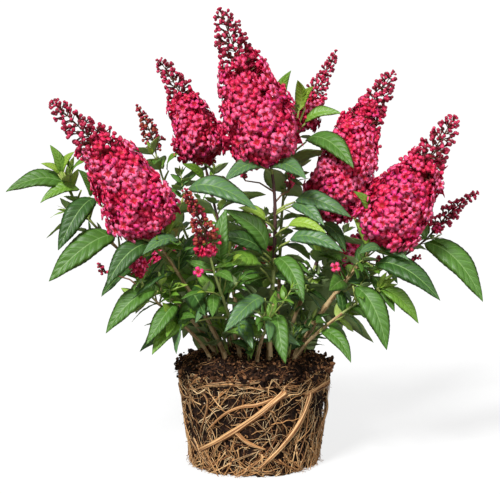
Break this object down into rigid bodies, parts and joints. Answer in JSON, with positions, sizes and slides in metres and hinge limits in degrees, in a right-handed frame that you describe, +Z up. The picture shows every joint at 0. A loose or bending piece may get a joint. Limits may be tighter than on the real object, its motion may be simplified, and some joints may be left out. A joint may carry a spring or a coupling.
{
  "type": "butterfly bush",
  "caption": "young flowering shrub lifted from its pot: woody canes, leafy shoots and crimson flower spikes on a bare root ball that it stands on",
  "frame": {"origin": "centre of the flat underside of the root ball, on the surface that the plant stands on", "axes": "+Z up along the axis of the root ball, -Y towards the viewer of the front, +X to the viewer's right"},
  "size_m": [0.56, 0.3661, 0.5443],
  "materials": {
    "root_ball": "matte",
    "bark": "matte",
    "foliage": "satin",
    "bloom": "matte"
  },
  "bodies": {
    "root": {"bloom_back_left": "bloom", "bloom_back_mid": "bloom", "bloom_back_right": "bloom", "bloom_centre": "bloom", "bloom_far_right": "bloom", "bloom_front_left": "bloom", "bloom_left_big": "bloom", "bloom_left_mid": "bloom", "bloom_left_small": "bloom", "bloom_low_left": "bloom", "bloom_right_back": "bloom", "bloom_right_front": "bloom", "bloom_upper_right": "bloom", "cane_back_left": "bark", "cane_back_low_left": "bark", "cane_back_low_right": "bark", "cane_back_mid": "bark", "cane_back_right": "bark", "cane_centre": "bark", "cane_front_left": "bark", "cane_front_low": "bark", "cane_left_big": "bark", "cane_left_mid": "bark", "cane_left_shoot": "bark", "cane_left_small": "bark", "cane_low_left": "bark", "cane_low_right": "bark", "cane_right_back": "bark", "cane_right_front": "bark", "cane_upper_right": "bark", "foliage_back_left": "foliage", "foliage_back_low_left": "foliage", "foliage_back_low_right": "foliage", "foliage_back_mid": "foliage", "foliage_back_right": "foliage", "foliage_centre": "foliage", "foliage_far_right": "foliage", "foliage_front_left": "foliage", "foliage_front_low": "foliage", "foliage_left_big": "foliage", "foliage_left_mid": "foliage", "foliage_left_shoot": "foliage", "foliage_left_small": "foliage", "foliage_low_left": "foliage", "foliage_low_right": "foliage", "foliage_right_back": "foliage", "foliage_right_front": "foliage", "foliage_upper_right": "foliage", "root_ball": "root_ball"}
  },
  "joints": []
}
